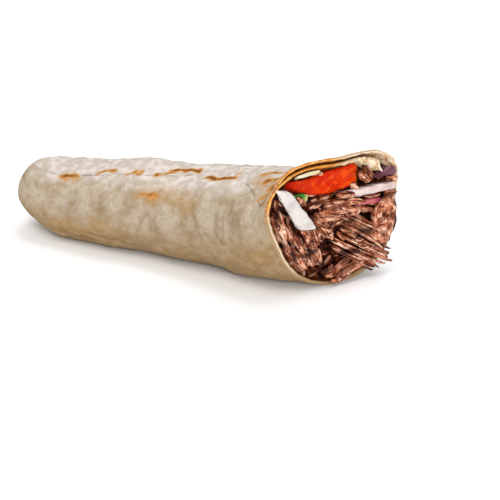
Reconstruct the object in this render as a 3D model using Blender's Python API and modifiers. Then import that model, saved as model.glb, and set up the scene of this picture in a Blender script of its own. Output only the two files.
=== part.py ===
"""Half of a kebab wrap, lying down: a flatbread rolled round shredded meat, tomato, cucumber and onion.

Frame, in metres: +X runs along the wrap from the tucked end to the slanted cut, +Y is the back and +Z is up.
The flat underside lies on z = 0, with the origin on it. The share s runs along the wrap, from 0 at the tip of
the tucked end to 1 at the cut. Angles round the wrap are in degrees, with 0 at the back, 90 on top and 180 in
front. Turns along the rolled sheet are in degrees too, counted from its outer edge.
"""

import math
import random

import bmesh
import bpy
import numpy as np
from mathutils import Matrix, Vector

MM = 0.001
FULL_TURN = 360.0

# The wrap's outline: a round tucked end, an oval body and a flared mouth cut at a slant
CLOSED_X = -79.8 * MM
MOUTH_X = 68.4 * MM
CUT_SLANT = 0.828
TUCKED_SHARE = 0.16
TUCK_ROUNDNESS = 2.3
TUCK_LIFT = 13.7 * MM
TUCK_LIFT_POWER = 1.6
TUCK_HALF_HEIGHT = 15.3 * MM
BODY_HALF_HEIGHT = 19.0 * MM
BODY_GROWTH_SHARE = 0.42
WIDTH_TO_HEIGHT = 1.154
RESTING_DEPTH = 1.3 * MM
SIDE_FLARE_START = 0.42
TOP_FLARE_START = 0.425
LIP_START, LIP_SHARE = 0.919, 0.42
MOUTH_CENTRE_Y = -8.1 * MM
MOUTH_CENTRE_Z = 33.9 * MM
MOUTH_RADII = [radius * MM for radius in (22.2, 24.9, 21.1, 28.4, 28.0, 28.8, 34.9, 29.2)]

# Its unevenness: soft dents, each with a share, waves along, waves round and a phase, and slanted pleats
DENT = 0.3 * MM
DENT_WAVES = ((1.0, 23.0, 1.0, 1.0), (1.0, 14.0, 3.0, 0.0), (0.7, 31.0, -2.0, 2.0))
DENT_FADE = 0.3
PLEAT_ANGLES = (150.0, 262.0)
PLEAT_DEPTH = 0.9 * MM
PLEAT_SPREAD = 16.0
PLEAT_TWIST = 160.0
PLEAT_START, PLEAT_END, PLEAT_FADE = 0.06, 0.34, 0.2

# The rolled sheet
SHEET = 1.5 * MM
BODY_LAYER_GAP = 0.35 * MM
MOUTH_LAYER_GAP = 0.9 * MM
GAP_GROWTH_START = 0.6
FLAP_ANGLE = 114.0
FLAP_DIP, FLAP_DIP_AT, FLAP_DIP_SPREAD = 20.0, 0.58, 0.13
FLAP_SWING, FLAP_SWING_START = 36.0, 0.68
BODY_TURN = 440.0
MOUTH_EXTRA_TURN, EXTRA_TURN_START = 32.0, 0.7
RAMP_START, RAMP_LENGTH = 180.0, 150.0
FOLD_LENGTH, FOLD_START = 34.0, 0.8
FOLD_THICKNESS = 3.6 * MM
FOLD_CURL = 1.4 * MM
EDGE_ROUNDING = 7.0
EDGE_PINCH = 0.35

# How finely the forms are divided
TURN_STEPS = 44
FLOOR_SHARE = 0.15
BODY_END, MOUTH_START = 0.68, 0.72
TUCK_RINGS = (0.8, 0.6, 0.42, 0.27, 0.15, 0.06)
OVERLAP_POINTS, SINGLE_POINTS = 10, 32
EDGE_HOLD = 2.5
END_RINGS = (0.93, 0.78, 0.58, 0.36, 0.16)
BEVEL_ANGLE = math.radians(50)

# The filling, whose pieces are placed from a point of the cut
CUT_CENTRE_Y, CUT_CENTRE_Z = -6.8 * MM, 29.8 * MM
CORE_CLEARANCE = 0.7 * MM
ROOM_CLEARANCE = 0.6 * MM
RECESS_SHARE = 0.982
BULGE = 1.2 * MM
LUMP = 0.8 * MM
OVERHANG = 14.0 * MM
OVERHANG_LEAN = (16.0 * MM, -12.0 * MM)
TOPPING_GAP = 0.4 * MM
HEADROOM_SIZE, HEADROOM_PLACE = (34.0, 12.0, 25.0), (-8.0, 22.0, 0.4, 4.0, 25.0)
ROUNDING, MOST_ROUNDING = 0.3, 1.2 * MM
TOMATO_TIP_THINNING, TOMATO_TIP_START = 5.5 * MM, 0.15
TOMATO_TIP_LIFT, TOMATO_SLOPE = 4.0 * MM, 0.5 * MM
STRAND_BOW = 0.5 * MM
STRAND_TWIST = 20.0
STRAND_TAPER = 0.3
STRAND_SCALES = (0.85, 1.15)
STRAND_STAND = 0.5
SEED = 7


def smooth(share):
    """A soft step from 0 to 1."""
    share = np.clip(share, 0.0, 1.0)
    return share * share * (3.0 - 2.0 * share)


def flare(s, start):
    """How far the body has opened out into the mouth at s."""
    return smooth((s - start) / (1.0 - start))


def mouth_radius(angle):
    """A smooth closed curve through MOUTH_RADII, which are evenly spaced: the sum of their harmonics."""
    waves = np.fft.rfft(MOUTH_RADII) / len(MOUTH_RADII)
    radius = waves[0].real + 0.0 * angle
    for order in range(1, len(waves)):
        both_sides = 1.0 if 2 * order == len(MOUTH_RADII) else 2.0
        turned = np.radians(order * angle)
        harmonic = waves[order].real * np.cos(turned) - waves[order].imag * np.sin(turned)
        radius = radius + both_sides * harmonic
    return radius


def dents(s, angle):
    """How far the outline is pressed in: the soft dents of a hand-rolled wrap and the tucked end's pleats."""
    turned = np.radians(angle)
    waves = 0.0
    for share, along, around, phase in DENT_WAVES:
        waves = waves + share * np.sin(along * s + around * turned + phase)
    pleats = 0.0
    for pleat_angle in PLEAT_ANGLES:
        across = (angle - pleat_angle - PLEAT_TWIST * s + FULL_TURN / 2.0) % FULL_TURN - FULL_TURN / 2.0
        pleats = pleats + np.exp(-((across / PLEAT_SPREAD) ** 2))
    dent_share = smooth(s / DENT_FADE) * smooth((1.0 + DENT_FADE / 2.0 - s) / DENT_FADE)
    pleat_share = smooth(s / PLEAT_START) * smooth((PLEAT_END - s) / PLEAT_FADE)
    return DENT * waves * dent_share + PLEAT_DEPTH * pleats * pleat_share


def wrap_points(s, angle, depth=0.0, floor=0.0):
    """Points at a depth below the wrap's outline, no lower than floor above the resting plane."""
    s, angle, depth = np.broadcast_arrays(np.float64(s), np.float64(angle), np.float64(depth))
    tuck = np.clip(s / TUCKED_SHARE, 0.0, 1.0)
    half_height = TUCK_HALF_HEIGHT + (BODY_HALF_HEIGHT - TUCK_HALF_HEIGHT) * smooth(s / BODY_GROWTH_SHARE)
    half_height = half_height * np.sqrt(np.clip(1.0 - (1.0 - tuck) ** TUCK_ROUNDNESS, 0.0, 1.0))
    body_z = half_height + TUCK_LIFT * (1.0 - tuck) ** TUCK_LIFT_POWER - RESTING_DEPTH
    side_flare = flare(s, SIDE_FLARE_START)
    top_flare = (1.0 - LIP_SHARE) * flare(s, TOP_FLARE_START) + LIP_SHARE * flare(s, LIP_START)
    radius = mouth_radius(angle)
    turned = np.radians(angle)
    arm_y = np.cos(turned) * ((1.0 - side_flare) * half_height * WIDTH_TO_HEIGHT + side_flare * radius)
    arm_z = np.sin(turned) * ((1.0 - top_flare) * half_height + top_flare * radius)
    arm = np.maximum(np.hypot(arm_y, arm_z), 1e-9)
    kept = 1.0 - np.minimum(depth + dents(s, angle), 0.9 * arm) / arm
    y = side_flare * MOUTH_CENTRE_Y + arm_y * kept
    z = np.maximum((1.0 - top_flare) * body_z + top_flare * MOUTH_CENTRE_Z + arm_z * kept, floor)
    x = CLOSED_X + s * (MOUTH_X - CLOSED_X) + s * s * CUT_SLANT * y
    return np.stack([x, y, z], axis=-1)


# The cut plane: its centre, the directions across, up and out of it, and the way in along the filling
CUT_CENTRE = Vector((MOUTH_X + CUT_SLANT * CUT_CENTRE_Y, CUT_CENTRE_Y, CUT_CENTRE_Z))
ACROSS = Vector((CUT_SLANT, 1.0, 0.0)).normalized()
UP = Vector((0.0, 0.0, 1.0))
OUT = Vector((1.0, -CUT_SLANT, 0.0)).normalized()
INWARD = Vector((-1.0, 0.15, -0.3)).normalized()


def on_cut(a, b, out=0.0):
    """The point a across and b up from the cut's centre, and out of the cut plane, all in mm."""
    return CUT_CENTRE + (a * ACROSS + b * UP + out * OUT) * MM


def ring_shares(first, last, body_rings, mouth_rings):
    """Where the rings lie along the wrap: spread out in the body and closer together in the flared mouth."""
    return np.append(np.linspace(first, BODY_END, body_rings), np.linspace(MOUTH_START, last, mouth_rings))


def flap_angle(s):
    """Where the sheet's outer edge lies round the wrap: near the top, swinging to the front at the mouth."""
    dip = FLAP_DIP * np.exp(-(((s - FLAP_DIP_AT) / FLAP_DIP_SPREAD) ** 2))
    return FLAP_ANGLE - dip + FLAP_SWING * smooth((s - FLAP_SWING_START) / (1.0 - FLAP_SWING_START))


def last_turn(s):
    """How far round the sheet's inner edge lies."""
    return BODY_TURN + MOUTH_EXTRA_TURN * smooth((s - EXTRA_TURN_START) / (1.0 - EXTRA_TURN_START))


def fold_share(s, turn):
    """How far the sheet is folded back on itself: fully at its inner edge in the mouth."""
    return smooth((s - FOLD_START) / (1.0 - FOLD_START)) * smooth((turn - last_turn(s)) / FOLD_LENGTH + 1.0)


def sheet_depth(s, turn):
    """How deep the sheet's outer face lies: it slips under the flap, and its folded end curls inwards."""
    gap_growth = smooth((s - GAP_GROWTH_START) / (1.0 - GAP_GROWTH_START))
    pitch = SHEET + BODY_LAYER_GAP + (MOUTH_LAYER_GAP - BODY_LAYER_GAP) * gap_growth
    return pitch * smooth((turn - RAMP_START) / RAMP_LENGTH) + FOLD_CURL * fold_share(s, turn)


def sheet_thickness(s, turn):
    """The sheet's thickness, which grows where its end is folded double."""
    return SHEET + FOLD_THICKNESS * fold_share(s, turn)


def sheet_faces(s):
    """The sheet's outer and inner face at s, as two rows of points that draw together at its edges."""
    turn = np.linspace(0.0, last_turn(s), TURN_STEPS + 1)
    from_edge = np.minimum(turn, last_turn(s) - turn)
    pinch = EDGE_PINCH * np.sqrt(1.0 - np.clip(from_edge / EDGE_ROUNDING, 0.0, 1.0))
    depth, thickness = sheet_depth(s, turn), sheet_thickness(s, turn)
    angle = flap_angle(s) - turn
    outer = wrap_points(s, angle, depth + pinch * thickness)
    inner = wrap_points(s, angle, depth + (1.0 - pinch) * thickness, floor=SHEET)
    return outer, inner


def tuck_ring(s, once_round):
    """The tucked end's ring at s: once round the sheet's outer face, with its step at the flap dying away."""
    turn = np.append(np.linspace(0.0, FULL_TURN, once_round + 1), 0.0)
    depth = sheet_depth(s, turn)
    depth[-1] = SHEET
    return wrap_points(s, flap_angle(s) - turn, depth * smooth(s / FLOOR_SHARE))


def filling_ring(s, clearance):
    """The filling's side at s, clear of the sheet's innermost layer, with a step past that layer's edge."""
    end = last_turn(s) - FULL_TURN
    below_two = np.linspace(0.0, end, OVERLAP_POINTS)
    past_edge = end + np.array([EDGE_HOLD, 2.0 * EDGE_HOLD])
    below_one = np.linspace(past_edge[-1], FULL_TURN, SINGLE_POINTS)[1:-1]
    turn = np.concatenate([below_two, past_edge, below_one])
    layer = np.where(turn <= end, turn + FULL_TURN, turn)
    layer[OVERLAP_POINTS] = end + FULL_TURN
    depth = sheet_depth(s, layer) + sheet_thickness(s, layer) + clearance
    return wrap_points(s, flap_angle(s) - turn, depth, floor=SHEET + clearance)


def add_vertices(work, points):
    return [work.verts.new(Vector(point)) for point in points]


def bridge(work, low, high):
    """Quads between two closed loops of vertices."""
    for i in range(len(low)):
        j = (i + 1) % len(low)
        work.faces.new((low[i], low[j], high[j], high[i]))


def fan(work, loop, tip):
    """Triangles from a closed loop of vertices to a point."""
    point = work.verts.new(Vector(tip))
    for i in range(len(loop)):
        work.faces.new((loop[i], loop[(i + 1) % len(loop)], point))


def add_object(name, work, material, collection):
    """An object from a bmesh, with its flat caps split up and its faces turned outwards."""
    bmesh.ops.triangulate(work, faces=[face for face in work.faces if len(face.verts) > 4])
    work.normal_update()
    bmesh.ops.recalc_face_normals(work, faces=work.faces[:])
    mesh = bpy.data.meshes.new(name)
    work.to_mesh(mesh)
    work.free()
    mesh.shade_smooth()
    mesh.set_sharp_from_angle(angle=BEVEL_ANGLE)
    if material:
        mesh.materials.append(material)
    thing = bpy.data.objects.new(name, mesh)
    collection.objects.link(thing)
    return thing


def loft(name, rings, material, collection, tip=None):
    """A closed solid through rings of points, with a flat first end and a flat or pointed last end."""
    work = bmesh.new()
    loops = [add_vertices(work, ring) for ring in rings]
    for low, high in zip(loops, loops[1:]):
        bridge(work, low, high)
    work.faces.new(loops[0])
    if tip is None:
        work.faces.new(loops[-1])
    else:
        fan(work, loops[-1], tip)
    return add_object(name, work, material, collection)


def add_flatbread(material, collection):
    """The rolled sheet: a spiral strip from the hollow's floor to the mouth, and the tucked end's dome."""
    work = bmesh.new()
    outer_rows, inner_rows = [], []
    for s in ring_shares(FLOOR_SHARE, 1.0, 10, 11):
        outer, inner = sheet_faces(s)
        outer_rows.append(add_vertices(work, outer))
        inner_rows.append(add_vertices(work, inner))
    sections = [outer + inner[::-1] for outer, inner in zip(outer_rows, inner_rows)]
    for low, high in zip(sections, sections[1:]):
        bridge(work, low, high)
    outer, inner = outer_rows[-1], inner_rows[-1]
    for i in range(TURN_STEPS):
        work.faces.new((outer[i], outer[i + 1], inner[i + 1], inner[i]))

    once_round = round(TURN_STEPS * FULL_TURN / BODY_TURN)
    outer, inner = outer_rows[0], inner_rows[0]
    work.faces.new(inner + outer[once_round:][::-1])
    loop = outer[: once_round + 1] + [inner[0]]
    for share in TUCK_RINGS:
        ring = add_vertices(work, tuck_ring(share * FLOOR_SHARE, once_round))
        bridge(work, loop, ring)
        loop = ring
    fan(work, loop, wrap_points(0.0, 0.0))
    return add_object("flatbread", work, material, collection)


def add_meat_core(material, collection):
    """The packed meat: it fills the roll, and its cut end is uneven and a little below the bread's edge."""
    shares = ring_shares(FLOOR_SHARE + 0.006, RECESS_SHARE, 8, 9)
    rings = [filling_ring(s, CORE_CLEARANCE) for s in shares]
    edge = rings[-1]
    middle = edge.mean(axis=0)
    for scale in END_RINGS:
        ring = middle + (edge - middle) * scale
        a = (ring - middle) @ np.array(ACROSS) / MM
        b = (ring - middle) @ np.array(UP) / MM
        lumps = np.sin(0.55 * a + 1.0) + np.sin(0.5 * b - 0.3 * a) + 0.6 * np.sin(0.8 * b + 2.0)
        height = BULGE * (1.0 - scale**2) + LUMP * lumps * (1.0 - scale**3)
        rings.append(ring + height[:, None] * np.array(OUT))
    return loft("meat", rings, material, collection, tip=rings[-1].mean(axis=0))


def add_room(collection):
    """The room for the filling: inside the roll, and out of the mouth, where it hangs over the right edge."""
    rings = [filling_ring(s, ROOM_CLEARANCE) for s in ring_shares(FLOOR_SHARE + 0.003, 1.0, 9, 11)]
    edge = rings[-1]
    lean = np.array(OVERHANG_LEAN[0] * ACROSS + OVERHANG_LEAN[1] * UP)
    rings.append(edge + ROOM_CLEARANCE * np.array(OUT))
    rings.append(edge + lean + OVERHANG * np.array(OUT))
    return loft("filling_room", rings, None, collection)


def add_block(name, size, cuts, shape, place, collection, material=None, segments=1, grown_by=0.0):
    """A block cut across its length, shaped and placed, with rounded edges.

    shape turns a corner with coordinates from -1 to 1 and the block's size into a point of the block; place
    turns that into the wrap's frame. grown_by widens every side, as for the pocket that a block lies in."""
    work = bmesh.new()
    bmesh.ops.create_cube(work, size=2.0)
    along = [edge for edge in work.edges if abs(edge.verts[0].co.x - edge.verts[1].co.x) > 1.0]
    bmesh.ops.subdivide_edges(work, edges=along, cuts=cuts, use_grid_fill=True)
    wide = [side + 2.0 * grown_by for side in size]
    for vertex in work.verts:
        vertex.co = place(shape(vertex.co, wide))
    block = add_object(name, work, material, collection)
    rounded = block.modifiers.new("rounded edges", "BEVEL")
    rounded.width = min(ROUNDING * min(size), MOST_ROUNDING)
    rounded.segments = segments
    rounded.limit_method = "ANGLE"
    rounded.angle_limit = BEVEL_ANGLE
    return block


def bent_strip(bow, twist, taper, skew=0.0):
    """A shape for add_block: a strip that bows up in the middle, twists along it and thins at its ends, which are
    cut aslant where it is skewed."""

    def shape(corner, size):
        x, y, z = corner
        narrow = 1.0 - taper * x * x
        y, z = y * narrow * size[1] / 2.0, z * narrow * size[2] / 2.0
        along = x * size[0] / 2.0 + skew * y
        turned = math.radians(twist) * x
        y, z = y * math.cos(turned) - z * math.sin(turned), y * math.sin(turned) + z * math.cos(turned)
        return Vector((along, y, z + bow * (1.0 - x * x)))

    return shape


def tomato_shape(corner, size):
    """A wedge of tomato: full at its right end and drawn out to a thin upper corner at its left end."""
    x, y, z = corner
    thinned = max(0.0, TOMATO_TIP_START - x)
    height = size[1] - TOMATO_TIP_THINNING * thinned - TOMATO_SLOPE * (1.0 - x)
    middle = TOMATO_TIP_LIFT * max(0.0, -x) ** 2 - TOMATO_SLOPE * x / 2.0
    return Vector((x * size[0] / 2.0, y * height / 2.0 + middle, z * size[2] / 2.0))


def on_face(a, b, out, angle, rise):
    """A place for add_block: lying on the cut at this angle, with its far end rising out of it."""
    spin = Matrix.Rotation(math.radians(angle), 3, "Z") @ Matrix.Rotation(-math.radians(rise), 3, "Y")

    def place(point):
        x, y, z = spin @ point
        return on_cut(a, b, out) + x * ACROSS + y * UP + z * OUT

    return place


def running_in(a, b, out, angle, depth):
    """A place for add_block: running into the wrap, with the middle of its outer end here."""
    spin = Matrix.Rotation(math.radians(angle), 3, "Z")

    def place(point):
        x, y, z = spin @ point
        return on_cut(a, b, out) + x * ACROSS + y * UP + (0.5 * depth * MM - z) * INWARD

    return place


def toppings():
    """Each topping's name, colour, size in mm, cuts across it, shape and place in the mouth."""
    flat = bent_strip(0.0, 3.0, 0.1)
    curved = bent_strip(0.9 * MM, 6.0, 0.1, skew=0.9)
    red, white, pale = (0.72, 0.07, 0.01), (0.8, 0.76, 0.7), (0.72, 0.55, 0.5)
    green, cream, purple, pink = (0.2, 0.42, 0.06), (0.85, 0.78, 0.55), (0.2, 0.07, 0.1), (0.5, 0.16, 0.16)
    return [
        ("tomato_wedge", red, (33.0, 10.4, 24.0), 6, tomato_shape, running_in(-8.0, 15.8, 0.2, 4.0, 24.0)),
        ("onion_strip_front", white, (21.7, 7.0, 2.8), 4, curved, on_face(-23.7, 8.9, 2.3, -57.6, 2.0)),
        ("onion_strip_back", pale, (22.0, 3.8, 15.0), 4, flat, running_in(14.6, 9.1, 3.0, -4.0, 15.0)),
        ("cucumber_piece", green, (7.0, 4.0, 9.0), 1, flat, running_in(-19.2, 11.8, 0.2, -6.0, 9.0)),
        ("white_onion_piece", cream, (10.5, 2.2, 10.0), 2, flat, running_in(-15.4, 21.3, 0.4, 2.0, 10.0)),
        ("red_onion_piece", purple, (12.0, 4.2, 10.0), 1, flat, running_in(20.6, 14.9, 1.6, -4.0, 10.0)),
        ("pink_onion_strip", pink, (13.0, 2.6, 8.0), 1, flat, running_in(12.8, 3.6, 1.6, -5.0, 8.0)),
    ]


def strand_groups():
    """The meat's pieces that show in the cut, by group, in mm and degrees.

    Each row holds the count, the middle across and up, the angle and its scatter, the spread along and across
    that angle, the length, width and thickness, and how far the pieces stand out and rise."""
    return [
        (8, (11.2, -13.6), (-34.0, 4.0), (4.0, 15.0), (29.0, 3.1, 2.9), (1.6, 9.0)),
        (1, (19.6, -5.6), (-101.0, 0.0), (0.0, 0.0), (21.0, 11.6, 5.0), (2.0, 0.0)),
        (9, (-17.8, -10.5), (-58.0, 26.0), (16.0, 20.5), (14.0, 5.2, 4.2), (-0.8, 4.0)),
        (5, (1.5, -23.6), (15.0, 12.0), (8.0, 5.0), (15.0, 3.6, 3.2), (1.0, 2.0)),
        (5, (-2.0, -2.0), (-24.0, 14.0), (15.0, 8.0), (13.0, 4.4, 3.4), (-0.8, 3.0)),
        (3, (12.2, 16.0), (-62.0, 14.0), (2.0, 6.0), (8.5, 3.0, 3.2), (-0.2, 0.0)),
        (3, (-30.0, 0.0), (-76.0, 8.0), (4.0, 4.5), (13.0, 3.4, 3.0), (-1.6, 0.0)),
        (3, (-6.0, 6.0), (-8.0, 10.0), (9.0, 3.0), (12.0, 3.4, 3.0), (-1.2, 2.0)),
    ]


def add_strands(collection):
    """The shreds and slices that show in the cut, each a tapered, twisted strip half sunk in the core."""
    draw = random.Random(SEED)
    for row, (count, middle, angle, spread, size, stand) in enumerate(strand_groups()):
        heading = math.radians(angle[0])
        for k in range(count):
            along = 0.5 * spread[0] * draw.uniform(-1.0, 1.0)
            across = spread[1] * (k / (count - 1) - 0.5) if count > 1 else 0.0
            a = middle[0] + along * math.cos(heading) - across * math.sin(heading)
            b = middle[1] + along * math.sin(heading) + across * math.cos(heading)
            scale = draw.uniform(*STRAND_SCALES) if count > 1 else 1.0
            bow, twist = STRAND_BOW * draw.uniform(-1.0, 1.0), STRAND_TWIST * draw.uniform(-1.0, 1.0)
            turned = angle[0] + angle[1] * draw.uniform(-1.0, 1.0)
            place = on_face(a, b, stand[0] + STRAND_STAND * draw.uniform(-1.0, 1.0), turned, stand[1])
            lengths = [side * scale * MM for side in size]
            shape = bent_strip(bow, twist, STRAND_TAPER)
            add_block(f"strand_{row}_{k}", lengths, 2, shape, place, collection)


def apply_boolean(thing, operation, other):
    """Applies a Boolean with an object or a whole collection. The exact solver leaves these bodies open."""
    joined = thing.modifiers.new(operation.lower(), "BOOLEAN")
    joined.operation = operation
    joined.solver = "MANIFOLD"
    if isinstance(other, bpy.types.Collection):
        joined.operand_type = "COLLECTION"
        joined.collection = other
    else:
        joined.object = other
    bpy.context.view_layer.update()
    evaluated = thing.evaluated_get(bpy.context.evaluated_depsgraph_get())
    mesh = bpy.data.meshes.new_from_object(evaluated)
    thing.modifiers.clear()
    thing.data = mesh


def connected(work):
    """The sets of vertices that hang together, the largest last."""
    left = set(work.verts)
    bodies = []
    while left:
        body, reached = set(), [left.pop()]
        while reached:
            vertex = reached.pop()
            body.add(vertex)
            beside = [edge.other_vert(vertex) for edge in vertex.link_edges]
            reached += [other for other in beside if other in left]
            left.difference_update(beside)
        bodies.append(body)
    return sorted(bodies, key=len)


def drop_scraps(thing):
    """Keeps a mesh's largest body, without flaps of no thickness, whose points have only two faces."""
    work = bmesh.new()
    work.from_mesh(thing.data)
    bmesh.ops.triangulate(work, faces=work.faces[:])
    points = [vertex for vertex in work.verts if len(vertex.link_faces) == 2]
    bmesh.ops.delete(work, geom=points, context="VERTS")
    for scrap in connected(work)[:-1]:
        bmesh.ops.delete(work, geom=list(scrap), context="VERTS")
    work.to_mesh(thing.data)
    work.free()


def add_material(name, colour, roughness):
    """A plain food surface."""
    material = bpy.data.materials.new(name)
    material.use_nodes = True
    surface = material.node_tree.nodes["Principled BSDF"]
    surface.inputs["Base Color"].default_value = (*colour, 1.0)
    surface.inputs["Roughness"].default_value = roughness
    surface.inputs["Metallic"].default_value = 0.0
    material.diffuse_color = (*colour, 1.0)
    return material


def add_collection(name):
    collection = bpy.data.collections.new(name)
    bpy.context.scene.collection.children.link(collection)
    return collection


def add_meat(room, wrap):
    """The meat: its core and the pieces fused on, kept inside the room for the filling."""
    meat = add_meat_core(add_material("meat", (0.3, 0.13, 0.08), 0.45), wrap)
    strands = add_collection("strands")
    add_strands(strands)
    apply_boolean(meat, "UNION", strands)
    for strand in list(strands.objects):
        bpy.data.objects.remove(strand)
    bpy.data.collections.remove(strands)
    apply_boolean(meat, "INTERSECT", room)
    return meat


def add_toppings(meat, room, wrap, cutters):
    """The toppings, each kept inside the room for the filling, and a pocket round each in the meat.

    No meat lies between the bread and the pieces at the top."""
    size = [side * MM for side in HEADROOM_SIZE]
    headroom = add_block("headroom", size, 1, bent_strip(0.0, 0.0, 0.0), running_in(*HEADROOM_PLACE), cutters)
    apply_boolean(meat, "DIFFERENCE", headroom)
    for name, colour, size, cuts, shape, place in toppings():
        size = [side * MM for side in size]
        material = add_material(name, colour, 0.35)
        topping = add_block(name, size, cuts, shape, place, wrap, material, segments=2)
        kept = topping.modifiers.new("inside the roll", "BOOLEAN")
        kept.operation = "INTERSECT"
        kept.solver = "MANIFOLD"
        kept.object = room
        pocket = add_block(name + "_pocket", size, cuts, shape, place, cutters, grown_by=TOPPING_GAP)
        apply_boolean(meat, "DIFFERENCE", pocket)
    drop_scraps(meat)


def main():
    for thing in list(bpy.data.objects):
        bpy.data.objects.remove(thing)
    wrap = add_collection("kebab_wrap")
    cutters = add_collection("cutters")
    add_flatbread(add_material("bread", (0.78, 0.68, 0.53), 0.8), wrap)
    room = add_room(cutters)
    meat = add_meat(room, wrap)
    add_toppings(meat, room, wrap, cutters)
    for cutter in cutters.objects:
        cutter.hide_render = True
        cutter.display_type = "WIRE"


main()
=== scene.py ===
import math
import random

import bmesh
import bpy
import numpy as np
from mathutils import Matrix, Vector
from mathutils.bvhtree import BVHTree


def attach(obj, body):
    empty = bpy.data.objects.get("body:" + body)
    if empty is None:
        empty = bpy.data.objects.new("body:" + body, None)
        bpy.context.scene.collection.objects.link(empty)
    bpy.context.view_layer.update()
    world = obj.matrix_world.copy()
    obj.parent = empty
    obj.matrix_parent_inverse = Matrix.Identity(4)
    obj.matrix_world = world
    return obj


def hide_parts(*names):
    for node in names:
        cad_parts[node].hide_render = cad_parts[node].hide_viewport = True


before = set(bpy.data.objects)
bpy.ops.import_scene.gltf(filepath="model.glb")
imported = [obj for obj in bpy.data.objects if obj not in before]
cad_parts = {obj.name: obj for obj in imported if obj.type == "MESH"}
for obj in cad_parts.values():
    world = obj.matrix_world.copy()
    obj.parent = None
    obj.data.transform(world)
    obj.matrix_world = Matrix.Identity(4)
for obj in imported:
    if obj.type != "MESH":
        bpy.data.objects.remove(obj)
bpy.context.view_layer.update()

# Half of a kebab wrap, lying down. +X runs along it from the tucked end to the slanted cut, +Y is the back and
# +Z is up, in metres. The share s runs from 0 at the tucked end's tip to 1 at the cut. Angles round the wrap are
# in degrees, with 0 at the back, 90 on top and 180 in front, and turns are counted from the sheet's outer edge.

MM = 0.001
FULL_TURN = 360.0

# The wrap's outline
CLOSED_X = -79.8 * MM
MOUTH_X = 68.4 * MM
CUT_SLANT = 0.828
TUCKED_SHARE = 0.16
TUCK_ROUNDNESS = 2.3
TUCK_LIFT = 13.7 * MM
TUCK_LIFT_POWER = 1.6
TUCK_HALF_HEIGHT = 15.3 * MM
BODY_HALF_HEIGHT = 19.0 * MM
BODY_GROWTH_SHARE = 0.42
WIDTH_TO_HEIGHT = 1.154
RESTING_DEPTH = 1.3 * MM
SIDE_FLARE_START = 0.42
TOP_FLARE_START = 0.425
LIP_START, LIP_SHARE = 0.919, 0.42
MOUTH_CENTRE_Y = -8.1 * MM
MOUTH_CENTRE_Z = 33.9 * MM
MOUTH_RADII = [radius * MM for radius in (22.2, 24.9, 21.1, 28.4, 28.0, 28.8, 34.9, 29.2)]
DENT = 0.3 * MM
DENT_WAVES = ((1.0, 23.0, 1.0, 1.0), (1.0, 14.0, 3.0, 0.0), (0.7, 31.0, -2.0, 2.0))
DENT_FADE = 0.3
PLEAT_ANGLES = (150.0, 262.0)
PLEAT_DEPTH = 0.9 * MM
PLEAT_SPREAD = 16.0
PLEAT_TWIST = 160.0
PLEAT_START, PLEAT_END, PLEAT_FADE = 0.06, 0.34, 0.2

# The rolled sheet
SHEET = 1.5 * MM
BODY_LAYER_GAP = 0.35 * MM
MOUTH_LAYER_GAP = 0.9 * MM
GAP_GROWTH_START = 0.6
FLAP_ANGLE = 114.0
FLAP_DIP, FLAP_DIP_AT, FLAP_DIP_SPREAD = 20.0, 0.58, 0.13
FLAP_SWING, FLAP_SWING_START = 36.0, 0.68
BODY_TURN = 440.0
MOUTH_EXTRA_TURN, EXTRA_TURN_START = 32.0, 0.7
RAMP_START, RAMP_LENGTH = 180.0, 150.0
FOLD_LENGTH, FOLD_START = 34.0, 0.8
FOLD_THICKNESS = 3.6 * MM
FOLD_CURL = 1.4 * MM
FLOOR_SHARE = 0.15
CORE_CLEARANCE = 0.7 * MM

# The cut plane: its centre, the directions across, up and out of it, and the way in along the filling
CUT_CENTRE_Y, CUT_CENTRE_Z = -6.8 * MM, 29.8 * MM
CUT_CENTRE = np.array([MOUTH_X + CUT_SLANT * CUT_CENTRE_Y, CUT_CENTRE_Y, CUT_CENTRE_Z])
ACROSS = np.array([CUT_SLANT, 1.0, 0.0]) / math.hypot(CUT_SLANT, 1.0)
UP = np.array([0.0, 0.0, 1.0])
OUT = np.array([1.0, -CUT_SLANT, 0.0]) / math.hypot(CUT_SLANT, 1.0)
INWARD = np.array([-1.0, 0.15, -0.3]) / math.sqrt(1.0 + 0.15**2 + 0.3**2)


def smooth(share):
    """A soft step from 0 to 1: 3 t^2 - 2 t^3."""
    share = np.clip(share, 0.0, 1.0)
    return share * share * (3.0 - 2.0 * share)


def flare(s, start):
    """How far the body has opened out into the mouth at s: a soft step from the start to the cut."""
    return smooth((s - start) / (1.0 - start))


def mouth_radius(angle):
    """A smooth closed curve through MOUTH_RADII: the sum of their harmonics."""
    waves = np.fft.rfft(MOUTH_RADII) / len(MOUTH_RADII)
    radius = waves[0].real + 0.0 * angle
    for order in range(1, len(waves)):
        both_sides = 1.0 if 2 * order == len(MOUTH_RADII) else 2.0
        turned = np.radians(order * angle)
        radius = radius + both_sides * (waves[order].real * np.cos(turned) - waves[order].imag * np.sin(turned))
    return radius


def dents(s, angle):
    """How far the outline is pressed in: three slow waves, and two slanted pleats exp(-(across / spread)^2)."""
    turned = np.radians(angle)
    waves = 0.0
    for share, along, around, phase in DENT_WAVES:
        waves = waves + share * np.sin(along * s + around * turned + phase)
    pleats = 0.0
    for pleat_angle in PLEAT_ANGLES:
        across = (angle - pleat_angle - PLEAT_TWIST * s + FULL_TURN / 2.0) % FULL_TURN - FULL_TURN / 2.0
        pleats = pleats + np.exp(-((across / PLEAT_SPREAD) ** 2))
    dent_share = smooth(s / DENT_FADE) * smooth((1.0 + DENT_FADE / 2.0 - s) / DENT_FADE)
    pleat_share = smooth(s / PLEAT_START) * smooth((PLEAT_END - s) / PLEAT_FADE)
    return DENT * waves * dent_share + PLEAT_DEPTH * pleats * pleat_share


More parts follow.
